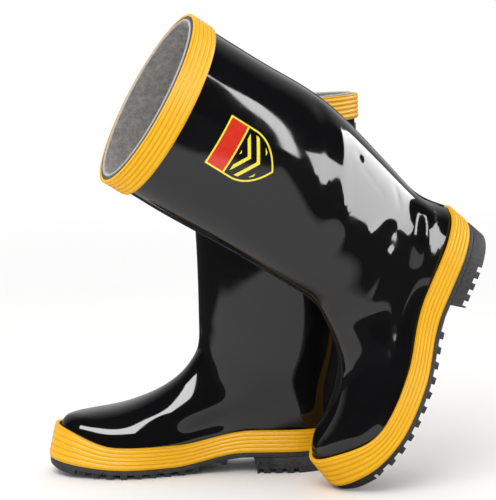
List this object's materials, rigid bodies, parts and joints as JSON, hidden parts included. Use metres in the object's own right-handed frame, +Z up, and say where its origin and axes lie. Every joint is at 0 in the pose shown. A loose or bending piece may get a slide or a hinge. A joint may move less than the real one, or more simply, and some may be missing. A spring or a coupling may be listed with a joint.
{
  "type": "pair of fire boots",
  "caption": "Pull-on knee-high rubber fire boots, one flat and one resting on its toe with the heel raised: glossy black shafts, ribbed collar and foxing bands, lugged soles.",
  "frame": {"origin": "centre of the pair's bounding box in plan, on the floor that both boots stand on", "axes": "+Z up from the floor, -X the way the toes of the flat boot point, -Y towards the raised boot"},
  "size_m": [0.4652, 0.2992, 0.49],
  "materials": {
    "black_rubber": "glossy lacquered",
    "yellow_rubber": "satin",
    "sole_rubber": "matt, finely grained",
    "knit_lining": "brushed knit",
    "steel": "rolled and pressed",
    "fibre_board": "pressed fibre",
    "filler_foam": "cut foam",
    "insole_felt": "needled felt",
    "emblem_film": "printed"
  },
  "bodies": {
    "right_boot": {"right_upper": "black_rubber", "right_lining": "knit_lining", "right_toe_cap": "steel", "right_heel_counter": "fibre_board", "right_collar_band": "yellow_rubber", "right_foxing_band": "yellow_rubber", "right_backstay": "black_rubber", "right_emblem": "emblem_film", "right_outsole": "sole_rubber", "right_heel_block": "sole_rubber", "right_steel_midsole": "steel", "right_steel_shank": "steel", "right_sole_filler": "filler_foam", "right_insole_board": "fibre_board"},
    "left_boot": {"left_upper": "black_rubber", "left_lining": "knit_lining", "left_toe_cap": "steel", "left_heel_counter": "fibre_board", "left_collar_band": "yellow_rubber", "left_foxing_band": "yellow_rubber", "left_backstay": "black_rubber", "left_emblem": "emblem_film", "left_outsole": "sole_rubber", "left_heel_block": "sole_rubber", "left_steel_midsole": "steel", "left_steel_shank": "steel", "left_sole_filler": "filler_foam", "left_insole_board": "fibre_board"},
    "right_insole": {"right_insole": "insole_felt"},
    "left_insole": {"left_insole": "insole_felt"}
  },
  "joints": [
    {"name": "left_boot_lift", "type": "slide", "parent": "right_boot", "child": "left_boot", "axis": [0, 0, 1], "range_m": [0, 0.4]},
    {"name": "right_insole_lift", "type": "hinge", "parent": "right_boot", "child": "right_insole", "pos_m": [-0.21195, 0.09265, 0.02957], "axis": [-0.014, -0.9999, 0], "range_deg": [0, 8]},
    {"name": "left_insole_lift", "type": "hinge", "parent": "left_boot", "child": "left_insole", "pos_m": [0.07469, -0.01143, 0.02578], "axis": [0.3501, -0.9363, -0.0297], "range_deg": [0, 8]}
  ]
}
